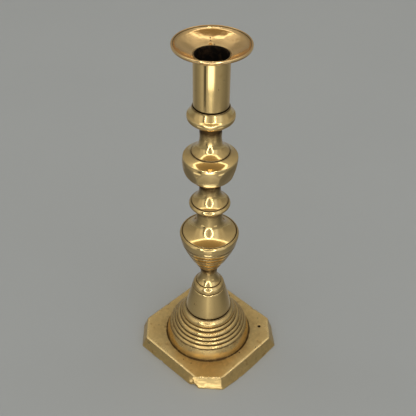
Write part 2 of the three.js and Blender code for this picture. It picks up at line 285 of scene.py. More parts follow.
def base_casting(material, shade):
    angles = foot_angles()
    low = corner_ring(FOOT_BOTTOM, 0, angles)
    high = corner_ring(FOOT_TOP, FOOT_HEIGHT, angles)
    rings, grime_and_shade, wear = [], [], []

    def add(ring, g=0.0, w=0.0):
        rings.append(ring)
        grime_and_shade.append(np.full(len(angles), g) if np.isscalar(g) else g)
        wear.append(np.full(len(angles), w) if np.isscalar(w) else w)

    def side(t, inset=0.0):
        ring = low + (high - low) * t
        if inset:
            ring = ring.copy()
            ring[:, :2] *= 1 - inset / np.hypot(ring[:, 0], ring[:, 1])[:, None]
        return ring

    # The second number in each add darkens the colour: grime, with painted shade on the hidden cant
    # underneath.
    add(corner_ring(canted(37.6, 11.1), FOOT_HEIGHT - 2.7, angles), 0.6)
    add(corner_ring(canted(39, 11.9), 4, angles), 0.6)
    add(corner_ring(canted(41, 13), 0.3, angles), 0.3, 0.3)
    add(corner_ring(canted(41.3, 13.1), 0, angles), 0.1, 0.5)
    add(corner_ring(FOOT_BOTTOM, 0, angles, inset=0.7), 0.1, 0.5)
    first_side = len(rings)
    add(side(0.015, 0.3), 0.0, 0.7)
    add(side(0.05), 0.0, 0.8)
    edge = EDGE / FOOT_HEIGHT
    for t in np.linspace(0.09, 1 - edge, 16):
        add(side(t), 0.22)
    top_in = corner_ring(FOOT_TOP, FOOT_HEIGHT, angles, inset=EDGE)
    start, corner = side(1 - edge), high
    for t in (0.2, 0.4, 0.6, 0.8, 1.0):
        add((1 - t) ** 2 * start + 2 * t * (1 - t) * corner + t * t * top_in, 0.0, 1.0 if t < 1 else 0.8)
    after_sides = len(rings)
    dome = Outline(DOME_R, FOOT_HEIGHT)
    (dome.line(32.75, 10.5).line(32.6, 11.2)
        .bow(30.1, 19.8, 0.3, groove=(0.95, 0.6))
        .bow(28.1, 22.5, 0.6, groove=(0.9, 0.6))
        .bow(26.2, 25.2, 0.65, groove=(0.9, 0.6))
        .bow(24.4, 27.5, 0.6, groove=(0.9, 0.6))
        .bow(21.8, 30.7, 0.85, groove=(0.9, 0.6))
        .bow(20.1, 33.4, 0.6, groove=(0.9, 0.6))
        .bow(18.2, 38.3, 0.9, soft=0.4)
        .line(17.6, DOME_TOP, soft=0.3)
        .inner((7.3, DOME_TOP), (7.3, 30.4), (11, 30.4), (11, 35.9), (15.4, 35.9), (17, 31), (21.3, 26.4),
               (26.8, 19), (28.8, 10.1), (28.8, 7.4)).close())
    rows = dome.rings()
    first = level_ring(DOME_R, FOOT_HEIGHT, angles)
    spread = sorted({*np.linspace(0, 1, 20)[1:-1], *np.arange(0.34, 0.56, 0.017)})
    # The plate darkens towards the dome: painted shade where it meets the dome, with grime.
    for t in spread:
        add(top_in + (first - top_in) * t, max(0.1 + 0.25 * t, max(0.0, 5 * t - 4.2) ** 1.5 * 0.8))
    for r, z, g, w in rows:
        # near, inside and joint add painted shade at the plate's fillet into the dome, on the hidden insides
        # and as a dark line at the joint under the cone.
        near = max(0.0, 1 - abs(z - 10.4) / 1.6) if r > 32 else 0.0
        inside = 0.6 if z < 38.5 and (r < 17.3 and z > 30 or z < 10.2 and r < 30) else 0.0
        joint = 0.9 * math.exp(-((z - DOME_TOP) / 0.7) ** 2) if r > 15 else 0.0
        joint = max(joint, 0.5 * math.exp(-((z - 10.5) / 3.2) ** 2)) if r > 29 else joint
        add(level_ring(r, z, angles), max(g, near, inside, joint), w)
    grid, grime_and_shade, wear = np.array(rings), np.array(grime_and_shade), np.array(wear)

    flat = grid.reshape(-1, 3)
    away = np.hypot(flat[:, 0], flat[:, 1])
    plate = (np.abs(flat[:, 2] - FOOT_HEIGHT) < 0.3) & (away > DOME_R - 0.1)
    outline = np.interp(np.arctan2(flat[:, 1], flat[:, 0]), *foot_reach(angles, high))
    crown = np.clip(2 * (away - DOME_R) / (outline - DOME_R) - 1, 0, 1) ** 2
    flat[plate, 2] -= 0.12 * crown[plate]
    flat[plate, 2] -= 0.12 + 0.14 * soft_noise(flat[plate], 11, 2) + 0.05 * soft_noise(flat[plate], 4, 6)
    outer = np.zeros(len(flat), bool)
    outer.reshape(grid.shape[:2])[first_side:after_sides] = True
    push = -0.12 - 0.12 * soft_noise(flat[outer], 9, 4) - 0.06 * soft_noise(flat[outer], 3.2, 8)
    r = np.hypot(flat[outer, 0], flat[outer, 1])
    flat[outer, 0] += push * flat[outer, 0] / r
    flat[outer, 1] += push * flat[outer, 1] / r
    round_part = np.hypot(flat[:, 0], flat[:, 1]) < 32.9
    flat[round_part] = uneven(flat[round_part][None], 0.05, 9, 5)[0]
    grid = flat.reshape(grid.shape)

    flat = grid.reshape(-1, 3)
    outward = (flat[:, 0] - flat[:, 1]) / math.sqrt(2)
    lean = np.clip((flat[:, 2] - 1.5) / 8.6, 0, 1) * np.clip((outward - 47.3) / 2.2, 0, 1) * 1.2
    flat[:, 0] -= lean / math.sqrt(2)
    flat[:, 1] += lean / math.sqrt(2)
    cant = (outward > CANT_OUT) & (flat[:, 2] > 0.6)
    dent = 0.34 * soft_noise(flat[cant], 2.2, 12) * np.clip((outward[cant] - CANT_OUT) / 1.2, 0, 1)
    flat[cant, 0] += (dent - 0.15) / math.sqrt(2)
    flat[cant, 1] -= (dent - 0.15) / math.sqrt(2)

    pressed(grid, (*DENT, FOOT_HEIGHT), 1.5, (0, 0, -0.75))
    for centre, radius, push in KNOCKS:
        pressed(grid, centre, radius, push)
    grid[..., 2] = np.clip(grid[..., 2], 0, None)
    return build("base", "base_casting", grid, grime_and_shade, wear, [material, shade],
                 dark=lambda m: (m[:, 2] < 7.3) & (np.hypot(m[:, 0], m[:, 1]) < 36) & (m[:, 2] > 0.3)
                 | (np.hypot(m[:, 0], m[:, 1]) < 27) & (m[:, 2] < 18))


# ---------- turned pieces ----------
def soiled_and_shaded(rows, places):
    """Adds the brown film left where a cloth can't reach, and painted shade under the piece above and at the
    joints: (height, reach, amount) for each place.
    """
    for z, reach, amount in places:
        rows[:, 2] = np.maximum(rows[:, 2], amount * np.exp(-((rows[:, 1] - z) / reach) ** 2))
    return rows


def turned(name, node, outline, materials, wobble=0.035, seed=1, dark=None, sides=SEGMENTS, soil_and_shade=()):
    rows = soiled_and_shaded(outline.rings(), soil_and_shade)
    grid = uneven(swept(rows, sides), wobble, 8, seed)
    return build(name, node, grid, rows[:, 2], rows[:, 3], materials, dark)


BORE_R = 3.0            # the rod's way through the stem
PLUG_R, PLUG_LENGTH, JOINT_GAP = 4.4, 9.0, 0.3


def recess(bottom):
    """Starts a section at its lower end, round the plug of the section below."""
    end = bottom + PLUG_LENGTH + JOINT_GAP
    return Outline(BORE_R, end).inner((PLUG_R + JOINT_GAP, end), (PLUG_R + JOINT_GAP, bottom))


def plug(outline, top):
    """Ends a section's outside with the plug on its upper end."""
    return outline.inner((PLUG_R, top), (PLUG_R, top + PLUG_LENGTH), (BORE_R, top + PLUG_LENGTH))


def stem_foot(materials):
    outline = (Outline(3, 30.4).inner((7, 30.4), (7, 39.3))
               .line(16.2, 39.3, soft=0.3).line(17.25, 40.3, soft=0.35)
               .bow(12.5, 60.6, 0.15, soft=0.35)
               .line(11.9, 61.3, groove=(0.6, 0.4))
               .bow(9.4, 66.8, 0.85, groove=(0.6, 0.4))
               .bow(6.1, 75.5, -0.75).bow(6.9, 82.2, -0.15, soft=0.3))
    plug(outline, 82.2)
    (outline.inner((3, 60), (9, 56), (12.4, 44), (3, 42)).close())
    # Painted shade on the neck under the vase and a dark line at the joint with the dome, with grime.
    return turned("stem_cone", "stem_foot", outline, materials, seed=11,
                  soil_and_shade=[(83, 6.5, 0.9), (39.6, 1.1, 1.0)])


def vase(materials):
    outline = (recess(82.6).line(7.3, 82.6, soft=0.3)
               .bow(10.3, 88.0, 0.6, groove=(1.2, 0.7))
               .bow(14.35, 95.0, 0.5, groove=(1.7, 0.9))
               .bow(16.2, 98.8, 0.25, groove=(1.9, 0.9))
               .bow(18.25, 103.5, 0.3, groove=(1.7, 0.9))
               .bow(19.85, 108.0, 0.25, groove=(0.9, 0.45))
               .bow(20.8, 113.0, 0.15)
               .bow(19.9, 116.15, 0.65, soft=0.25)
               .line(19.35, 115.9, groove=(0.75, 0.5))
               .bow(13.0, 120.5, -0.3).bow(9.35, 129.5, -1.03).line(9.1, 134).line(9.0, 139.3, soft=0.4))
    plug(outline, 139.3)
    (outline.inner((3, 128), (8, 123), (14.2, 114), (8.6, 99), (3, 95)).close())
    # Painted shade under the lower knop and above the cone, and dark painted lines along the ribs, with
    # grime.
    return turned("stem_vase_turned", "stem_vase", outline, materials, seed=21,
                  soil_and_shade=[(140.5, 7.0, 1.0), (83.5, 2.5, 0.7), (88.0, 1.3, 1.0),
                        (95.2, 0.9, 1.0), (99.0, 0.9, 1.0), (103.7, 0.8, 1.0)])


def lower_knop(materials):
    outline = (recess(139.7).line(12.9, 139.7, soft=0.4)
               .bow(13.4, 143.3, 1.1, soft=0.2)
               .line(12.75, 143.8, groove=(0.7, 0.5))
               .bow(11.0, 145.2, -0.04).bow(7.4, 152.5, -0.71).line(7.3, 155).line(7.5, 160.5, soft=0.4))
    # Painted shade on the neck under the faceted knop and at the joint below, with grime.
    return turned("knop_lower", "lower_knop", plug(outline, 160.5).close(), materials, seed=31,
                  soil_and_shade=[(161.5, 8.0, 1.0), (139.9, 0.9, 0.5)])


# the filed flats: direction and lean in degrees, distance from the axis at FLAT_TOP, as in the CAD source
FLAT_TOP = 178.7
FLAT_ROUND = 0.72       # 1 for a true flat; filing by hand leaves it a little rounded
FLAT_MIDDLE, FLAT_SAG = 173.5, 0.005    # and rounded from top to bottom too, per mm squared from its middle
BELLY_LOW, BELLY_HIGH, BELLY_R = 163, 184, 9    # the flats are cut between these heights, outside this radius
KNOP_SIDES, PAN_SIDES, SOCKET_SIDES, DISC_SIDES, ROD_SIDES = 320, 288, 224, 96, 40
FLATS = [(-3, 15, 18.5), (42, 15, 18.2), (87, 15, 18.4), (132, 14, 18.2),
         (177, 15, 18.5), (222, 7, 18.9), (265, 11, 18.7), (312, 15, 18.8)]


def faceted_knop(materials):
    outline = (recess(160.9).line(8, 160.9, soft=0.4)
               .bow(16.8, 168, 1).bow(18.5, 175.5, 0.5).bow(18.15, 180.9, 0.25, soft=0.35)
               .bow(12.8, 184.6, -0.28, groove=(0.75, 0.5))
               .bow(9.4, 187.6, -0.06).bow(7.9, 190.2, -0.2).bow(7.1, 196, -0.17).line(7.5, 204.7, soft=0.4))
    # Painted shade on the neck under the top knop and at the joint below, with grime.
    rows = soiled_and_shaded(plug(outline, 204.7).close().rings(), [(205.5, 8.0, 1.0), (161.5, 1.6, 0.6)])
    grid = swept(rows, KNOP_SIDES)
    flat = grid.reshape(-1, 3)
    r, a = np.hypot(flat[:, 0], flat[:, 1]), np.arctan2(flat[:, 1], flat[:, 0])
    limit = np.full(len(flat), 99.0)
    for turn, lean, at_top in FLATS:
        across = np.cos(a - math.radians(turn))
        reach = at_top + math.tan(math.radians(lean)) * (flat[:, 2] - FLAT_TOP)
        reach = reach * (1 + FLAT_ROUND * (1 / np.maximum(across, 0.3) - 1))
        reach = reach - FLAT_SAG * (flat[:, 2] - FLAT_MIDDLE) ** 2
        limit = np.minimum(limit, np.where(across > 0.3, reach, 99))
    belly = (flat[:, 2] > BELLY_LOW) & (flat[:, 2] < BELLY_HIGH) & (r > BELLY_R)
    keep = np.where(belly, np.minimum(1, limit / np.maximum(r, 1e-6)), 1)
    gap = np.abs(limit - r) * belly
    edge = np.where(belly, np.exp(-(gap / 0.35) ** 2) * 0.8, 0)
    flat[:, 0] *= keep
    flat[:, 1] *= keep
    grid = uneven(flat.reshape(grid.shape), 0.03, 6, 41)
    wear = np.maximum(np.repeat(rows[:, 3], KNOP_SIDES), edge)
    return build("knop_faceted", "faceted_knop", grid, rows[:, 2],
                 wear.reshape(grid.shape[:2]), materials)


def top_knop(materials):
    outline = (recess(205.1).line(9.6, 205.1, soft=0.4)
               .bow(15.1, 209.5, 0.35, soft=0.35)
               .bow(15.3, 212.6, 0.25, soft=0.3).line(13.95, 213.9).bow(11.9, 218.5, -0.12, soft=0.2)
               .line(11.1, 218.3).inner((4.7, 218.3), (4.7, 214.5), (3, 214.5)).close())
    # Painted shade at the joints with the neck below and with the socket above, with grime.
    return turned("knop_top", "top_knop", outline, materials, seed=51,
                  soil_and_shade=[(205.3, 1.2, 0.6), (218.4, 0.7, 0.8)])


# ---------- socket, drip pan and the push-up mechanism ----------
def socket_tube(material, soot_and_shade):
    outline = (Outline(2.1, 214.8).inner((4.4, 214.8), (4.4, 218.8))
               .line(10.9, 218.8, soft=0.25).line(11.4, 219.3, soft=0.3)
               .line(11.4, 252.8, soft=0.2).line(10.75, 252.8, soft=0.2)
               .line(10.2, 251.8, soft=0.2).inner((10.2, 220.8), (2.1, 220.8)).close())
    # Painted shade under the drip pan and at the foot joint, with grime.
    rows = soiled_and_shaded(outline.rings(), [(252.6, 1.5, 0.6), (219.0, 0.8, 0.6)])
    extra = np.array([(10.2, z, 0.0, 0.0) for z in np.arange(250, 221, -2.0)])
    inner = next(i for i, row in enumerate(rows) if abs(row[0] - 10.2) < 0.01 and row[1] < 221)
    rows = np.insert(rows, inner, extra, axis=0)
    grid = uneven(swept(rows, SOCKET_SIDES), 0.035, 14, 61)
    # The bore and its inner lip take the second, near-black material: soot, and painted shade in the hole.
    return build("socket", "candle_socket", grid, rows[:, 2], rows[:, 3], [material, soot_and_shade],
                 dark=lambda m: (np.hypot(m[:, 0], m[:, 1]) < 10.8) & (m[:, 2] < 252.85))


def drip_pan(material):
    outline = (Outline(11.5, 251.3)
               .bow(22.9, 257.4, 0.3).bow(24.05, 259.5, 0.5, soft=0.3)
               .bow(23.35, 260, 0.12).bow(22.75, 259.45, 0.1, groove=(0.4, 0.3))
               .bow(20.6, 257.1, -0.25).bow(12.2, 252.85, -0.35, soft=0.3)
               .line(11.5, 252.6, soft=0.15).close(hidden=False))
    rows = outline.rings()
    grid = uneven(swept(rows, PAN_SIDES), 0.04, 7, 71)
    flat = grid.reshape(-1, 3)
    r = np.hypot(flat[:, 0], flat[:, 1])
    dish = (r > 12) & (r < 23) & (flat[:, 2] > 252.6 + (r - 11.7) * 0.42)
    flat[dish, 2] += 0.05 * soft_noise(flat[dish], 2.6, 9) + 0.05 * soft_noise(flat[dish], 5.5, 5)
    grid = flat.reshape(grid.shape)
    pressed(grid, (-8.9, 8.0, 252.7), 1.3, (-0.9, 0.9, -0.3))
    pressed(grid, (-7.2, 9.6, 252.8), 1.0, (0.7, -0.8, -0.2))
    grid[..., 2] = np.clip(grid[..., 2], None, 260)
    return build("pan", "drip_pan", grid, rows[:, 2], rows[:, 3], [material])


def ejector(material, steel):
    disc = (Outline(1.45, 221.1).line(9.7, 221.1, soft=0.15).line(9.7, 222.3, soft=0.25)
            .line(1.45, 222.3, soft=0.1).close())
    turned("disc", "ejector_disc", disc, [material], wobble=0.02, seed=81, sides=DISC_SIDES)
    rod = (Outline(0.02, 4.8).inner((1.6, 4.8), (1.75, 5.1)))
    for z in np.arange(20, 221, 20.0):
        rod.line(1.75, min(z, 220.8), hidden=True)
    (rod.inner((1.75, 220.8), (1.25, 220.8), (1.25, 221.9))
        .bow(0.02, 222.2, 0.1).close())
    turned("rod", "ejector_rod", rod, [steel], wobble=0.0, seed=82, sides=ROD_SIDES)
    button = (Outline(0.02, 3.0).inner((3, 3.0)).bow(7.4, 3.25, 0.05).bow(7.5, 6.0, 1.1)
              .line(4.3, 6.6, soft=0.3).line(4, 8.8, soft=0.2).line(2.05, 9, soft=0.1)
              .inner((2.05, 4.5), (0.02, 4.5)).close())
    turned("button", "ejector_button", button, [material], wobble=0.03, seed=83,
           sides=DISC_SIDES)


# ---------- materials ----------
BRASS = (0.87, 0.63, 0.265, 1)


class Nodes:
    """Short way to write a node tree."""

    def __init__(self, material):
        material.use_nodes = True
        self.tree = material.node_tree
        self.tree.nodes.clear()

    def add(self, kind, **settings):
        node = self.tree.nodes.new(kind)
        for key, value in settings.items():
            setattr(node, key, value)
        return node

    def link(self, a, b):
        self.tree.links.new(a, b)

    def fill(self, socket, value):
        if isinstance(value, bpy.types.NodeSocket):
            self.link(value, socket)
        else:
            socket.default_value = value

    def math(self, op, a, b=0.0, c=0.0, clamp=False):
        node = self.add("ShaderNodeMath", operation=op, use_clamp=clamp)
        for socket, value in zip(node.inputs, (a, b, c)):
            self.fill(socket, value)
        return node.outputs[0]

    def noise(self, vector, scale, detail=3.0, rough=0.5, distortion=0.0):
        node = self.add("ShaderNodeTexNoise")
        self.link(vector, node.inputs["Vector"])
        node.inputs["Scale"].default_value = scale
        node.inputs["Detail"].default_value = detail
        node.inputs["Roughness"].default_value = rough
        node.inputs["Distortion"].default_value = distortion
        return node.outputs["Fac"]

    def ramp(self, fac, low, high, to_low=0.0, to_high=1.0):
        node = self.add("ShaderNodeMapRange", interpolation_type="SMOOTHSTEP")
        self.link(fac, node.inputs["Value"])
        for key, value in (("From Min", low), ("From Max", high), ("To Min", to_low), ("To Max", to_high)):
            node.inputs[key].default_value = value
        return node.outputs[0]

    def mix(self, fac, a, b):
        node = self.add("ShaderNodeMix", data_type="RGBA")
        self.fill(node.inputs[0], fac)
        self.fill(node.inputs[6], a)
        self.fill(node.inputs[7], b)
        return node.outputs[2]

    def attribute(self, name):
        return self.add("ShaderNodeAttribute", attribute_name=name).outputs["Fac"]


def surface(name, metallic=0.0):
    """A new material: its node writer, its shader and the place on the object."""
    material = bpy.data.materials.new(name)
    n = Nodes(material)
    out = n.add("ShaderNodeOutputMaterial")
    bsdf = n.add("ShaderNodeBsdfPrincipled")
    n.link(bsdf.outputs[0], out.inputs[0])
    bsdf.inputs["Metallic"].default_value = metallic
    return material, n, bsdf, n.add("ShaderNodeTexCoord").outputs["Object"]


def bumped(n, bsdf, height):
    bump = n.add("ShaderNodeBump")
    bump.inputs["Strength"].default_value = 1.0
    bump.inputs["Distance"].default_value = 1.0
    n.link(height, bump.inputs["Height"])
    n.link(bump.outputs[0], bsdf.inputs["Normal"])


def brass(name, rough=0.085, lathe=0.2, mottle=0.3, pits=0.5, grain=0.15, tint=BRASS, marks=()):
    """Old brass: fine turning lines, cloudy tarnish, casting pits, brown grime with painted shade in the
    grooves, at the joints and under the pieces above, and bright rubbed edges."""
    material, n, bsdf, where = surface(name, metallic=1.0)

    clouds = n.ramp(n.noise(where, 55, 4, 0.55, 0.4), 0.36, 0.72)
    blotches = n.ramp(n.noise(where, 190, 3, 0.6), 0.56, 0.76)
    fine = n.noise(where, 1500, 2, 0.6)
    grime_and_shade = n.attribute("grime_and_shade")
    wear = n.attribute("wear")
    broken = n.ramp(n.noise(where, 320, 3, 0.6), 0.3, 0.6)

    dots = n.add("ShaderNodeTexVoronoi", feature="F1")
    n.link(where, dots.inputs["Vector"])
    dots.inputs["Scale"].default_value = 135
    chosen = n.add("ShaderNodeSeparateColor")
    n.link(dots.outputs["Color"], chosen.inputs[0])
    few = n.math("GREATER_THAN", chosen.outputs[0], 1 - 0.10 * pits)
    size = n.math("MULTIPLY_ADD", chosen.outputs[1], 0.07, 0.045)
    deep = n.math("SUBTRACT", 1.0, n.math("DIVIDE", dots.outputs["Distance"], size), clamp=True)
    pit = n.math("MULTIPLY", n.math("MULTIPLY", deep, few), 2.5, clamp=True)

    for x, y, z, radius, width in marks:
        far = n.add("ShaderNodeVectorMath", operation="DISTANCE")
        n.link(where, far.inputs[0])
        far.inputs[1].default_value = (x * MM, y * MM, z * MM)
        off = n.math("ABSOLUTE", n.math("SUBTRACT", far.outputs["Value"], radius * MM))
        pit = n.math("MAXIMUM", pit, n.ramp(off, 0.4 * width * MM, width * MM, 1, 0))

    cloudy = (tint[0] * 0.9, tint[1] * 0.78, tint[2] * 0.6, 1)
    shade = n.mix(n.math("MULTIPLY", clouds, 0.30 * mottle), tint, cloudy)
    shade = n.mix(n.math("MULTIPLY", blotches, 0.75 * mottle), shade, (0.50, 0.27, 0.075, 1))
    # This pulls the colour to near-black brown: grime in the hollows, and painted shade in the grooves, at
    # the joints and under the pieces above.
    dirt_and_shade = n.math("MULTIPLY", grime_and_shade, n.math("MULTIPLY_ADD", broken, 0.5, 0.95), clamp=True)
    shade = n.mix(n.math("MULTIPLY", dirt_and_shade, 0.95), shade, (0.060, 0.028, 0.008, 1))
    shade = n.mix(pit, shade, (0.03, 0.018, 0.008, 1))
    shade = n.mix(n.math("MULTIPLY", wear, 0.45), shade, (0.95, 0.74, 0.37, 1))
    n.link(shade, bsdf.inputs["Base Color"])

    roughness = n.math("MULTIPLY_ADD", clouds, 0.16 * mottle, rough)
    roughness = n.math("MULTIPLY_ADD", blotches, 0.16 * mottle, roughness)
    roughness = n.math("MULTIPLY_ADD", fine, 0.03, roughness)
    roughness = n.math("MULTIPLY_ADD", dirt_and_shade, 0.35, roughness)
    roughness = n.math("MULTIPLY_ADD", pit, 0.4, roughness, clamp=True)
    n.link(roughness, bsdf.inputs["Roughness"])

    stretch = n.add("ShaderNodeMapping")
    n.link(where, stretch.inputs["Vector"])
    stretch.inputs["Scale"].default_value = (40, 40, 4200)
    lines = n.noise(stretch.outputs[0], 1.0, 3, 0.65)
    height = n.math("MULTIPLY", lines, 0.0000045 * lathe)
    height = n.math("MULTIPLY_ADD", n.noise(where, 900, 3, 0.6), 0.000012 * grain, height)
    height = n.math("MULTIPLY_ADD", pit, -0.00012, height)
    bumped(n, bsdf, height)
    return material


def soot_and_shade(name):
    """The inside of the socket and its inner lip: brass blackened by wax and soot, near black to paint the
    shade deep in the bore as well.
    """
    material, n, bsdf, where = surface(name)
    crust = n.noise(where, 260, 4, 0.6, 0.5)
    n.link(n.mix(n.ramp(crust, 0.45, 0.75), (0.006, 0.004, 0.002, 1), (0.05, 0.027, 0.012, 1)),
           bsdf.inputs["Base Color"])
    n.link(n.ramp(crust, 0.3, 0.7, 0.95, 0.7), bsdf.inputs["Roughness"])
    bsdf.inputs["Specular IOR Level"].default_value = 0.15
    bumped(n, bsdf, n.math("MULTIPLY", crust, 0.0004))
    return material


def rough_casting(name):
    """The foot's hollow underside: brown, pitted, as cast."""
    material, n, bsdf, where = surface(name, metallic=0.8)
    patch = n.noise(where, 90, 5, 0.6, 0.3)
    n.link(n.mix(n.ramp(patch, 0.35, 0.7), (0.16, 0.09, 0.035, 1), (0.42, 0.27, 0.11, 1)),
           bsdf.inputs["Base Color"])
    n.link(n.ramp(patch, 0.3, 0.7, 0.75, 0.5), bsdf.inputs["Roughness"])
    bumped(n, bsdf, n.math("MULTIPLY", n.noise(where, 700, 4, 0.65), 0.0002))
    return material


def drawn_steel(name):
    """The push rod: plain drawn steel with a little rust."""
    material, n, bsdf, where = surface(name, metallic=1.0)
    stretch = n.add("ShaderNodeMapping")
    n.link(where, stretch.inputs["Vector"])
    stretch.inputs["Scale"].default_value = (3000, 3000, 30)
    streaks = n.noise(stretch.outputs[0], 1.0, 3, 0.6)
    rust = n.ramp(n.noise(where, 240, 4, 0.6), 0.55, 0.75)
    n.link(n.mix(n.math("MULTIPLY", rust, 0.7), n.mix(streaks, (0.42, 0.42, 0.41, 1), (0.6, 0.6, 0.58, 1)),
                 (0.20, 0.10, 0.05, 1)), bsdf.inputs["Base Color"])
    n.link(n.math("MULTIPLY_ADD", rust, 0.35, n.math("MULTIPLY_ADD", streaks, 0.15, 0.3)),
           bsdf.inputs["Roughness"])
    return material


# ---------- assembly ----------
# chips, punch marks and casting holes: place in mm, radius (0 for a solid hole), width
PLATE_MARKS = [(*DENT, 10, 0.95, 0.4), (34.6, -0.3, 10, 0, 0.75), (15.2, -34.1, 10, 0, 0.6),
               (8.4, -35.6, 10, 0, 0.55), (-24.2, -42.6, 7.1, 0, 0.8), (0.4, -44.3, 2.1, 0, 0.9),
               (-30.5, -25.8, 10, 0, 0.5), (-36, 8, 10, 0, 0.7), (21.5, 36.4, 10, 0, 0.5),
               (40.2, 12.6, 10, 0, 0.6), (-12.4, 38.5, 10, 0, 0.8), (46.2, -2.3, 3.6, 0, 0.8),
               (45.1, 17.2, 6.1, 0, 0.6), (-45.6, 9.1, 4.2, 0, 0.8), (12.3, 44.3, 5, 0, 0.7)]
STEM_MARKS = [(2.2, -19.4, 105.6, 0, 0.75), (19.3, -5.1, 115.7, 0, 0.7), (5.6, -18.2, 105.1, 0, 0.45),
              (-8.4, -16.4, 118.2, 0, 0.6), (-14.1, 13.3, 108.5, 0, 0.7), (13.6, 9.2, 48.2, 0, 0.5),
              (-12.2, -9.6, 52.4, 0, 0.5), (9.3, 14.2, 172.6, 0, 0.6), (-16.1, 2.2, 178.3, 0, 0.5)]
TUBE_MARKS = [(10.4, -4.6, 235, 0, 0.45), (11.4, -1.2, 240.2, 0, 0.4), (-2.1, -11.2, 232, 0, 0.35),
              (11.2, -2.4, 228.4, 0, 0.35), (-10.1, 5.3, 236, 0, 0.5), (2.2, 11.2, 245.1, 0, 0.4)]
PAN_MARKS = [(-12.3, 11.2, 254.7, 0, 0.5), (-11.0, 10.2, 253.8, 0, 0.55), (-8.8, 8.4, 252.7, 0, 0.7),
             (-7.3, 9.7, 252.7, 0, 0.6), (6.5, 15.4, 255.1, 0, 0.4), (14.8, -12.1, 256, 0, 0.4)]
plate_brass = brass("plate_brass", rough=0.19, lathe=0.1, mottle=0.8, pits=1.0, grain=0.5, marks=PLATE_MARKS)
stem_brass = brass("stem_brass", marks=STEM_MARKS)
tube_brass = brass("tube_brass", rough=0.07, lathe=0.15, mottle=0.25, pits=0.7, marks=TUBE_MARKS)
pan_brass = brass("pan_brass", rough=0.13, lathe=0.15, mottle=0.4, pits=0.5, grain=0.4,
                  tint=(0.88, 0.60, 0.27, 1), marks=PAN_MARKS)
dull_brass = brass("dull_brass", rough=0.42, lathe=0.4, mottle=0.8, pits=0.5, grain=1.0,
                   tint=(0.5, 0.34, 0.14, 1))

base_casting(plate_brass, rough_casting("cast_underside"))
stem_foot([stem_brass])
vase([stem_brass])
lower_knop([stem_brass])
faceted_knop([stem_brass])
top_knop([stem_brass])
socket_tube(tube_brass, soot_and_shade("socket_soot_and_shade"))
drip_pan(pan_brass)
ejector(dull_brass, drawn_steel("drawn_steel"))


# ---------- floor, light and camera ----------
def floor():
    material, n, bsdf, where = surface("studio_floor")
    n.link(n.mix(n.noise(where, 6, 2), FLOOR_DARK, FLOOR_LIGHT), bsdf.inputs["Base Color"])
    bsdf.inputs["Roughness"].default_value = 0.7
    bsdf.inputs["Specular IOR Level"].default_value = 0.0
    half, z = FLOOR_HALF, CAD_BOX[0].z - FLOOR_DROP
    mesh = bpy.data.meshes.new("floor")
    corners = [(-half, -half, z), (half, -half, z), (half, half, z), (-half, half, z)]
    mesh.from_pydata(corners, [], [(0, 1, 2, 3)])
    mesh.materials.append(material)
    obj = bpy.data.objects.new("floor", mesh)
    bpy.context.scene.collection.objects.link(obj)


def area_light(name, place, target, width, height, watts):
    data = bpy.data.lights.new(name, "AREA")
    data.shape = "RECTANGLE"
    data.size, data.size_y = width, height
    data.energy = watts
    obj = bpy.data.objects.new(name, data)
    obj.location = place
    obj.rotation_mode = "QUATERNION"
    obj.rotation_quaternion = (Vector(target) - Vector(place)).to_track_quat("-Z", "Y")
    obj.visible_camera = False
    bpy.context.scene.collection.objects.link(obj)
    return obj


CAMERA_PLACE = Vector((0.249487, -0.259648, 0.435283))
CAMERA_AIM = Vector((-0.000848, -0.000815, 0.136267))
CAMERA_ROLL = 0.01214
CAMERA_LENS = 58.634


def camera():
    data = bpy.data.cameras.new("camera")
    data.sensor_width = 36
    data.lens = CAMERA_LENS
    data.clip_start, data.clip_end = 0.01, 20
    obj = bpy.data.objects.new("camera", data)
    ahead = (CAMERA_AIM - CAMERA_PLACE).normalized()
    right = ahead.cross(Vector((0, 0, 1))).normalized()
    up = right.cross(ahead)
    c, s = math.cos(CAMERA_ROLL), math.sin(CAMERA_ROLL)
    right, up = right * c + up * s, up * c - right * s
    turn = Matrix((right, up, -ahead)).transposed()
    obj.matrix_world = Matrix.Translation(CAMERA_PLACE) @ turn.to_4x4()
    bpy.context.scene.collection.objects.link(obj)
    bpy.context.scene.camera = obj


BACKDROP = (0.33, 0.345, 0.345, 1)
FLOOR_DARK, FLOOR_LIGHT = (0.47, 0.50, 0.51, 1), (0.49, 0.52, 0.53, 1)
FLOOR_HALF, FLOOR_DROP = 3.0, 0.0002
NEUTRAL, WARM, COOL = (1.0, 0.97, 0.92), (1.0, 0.84, 0.58), (0.97, 1.0, 1.06)
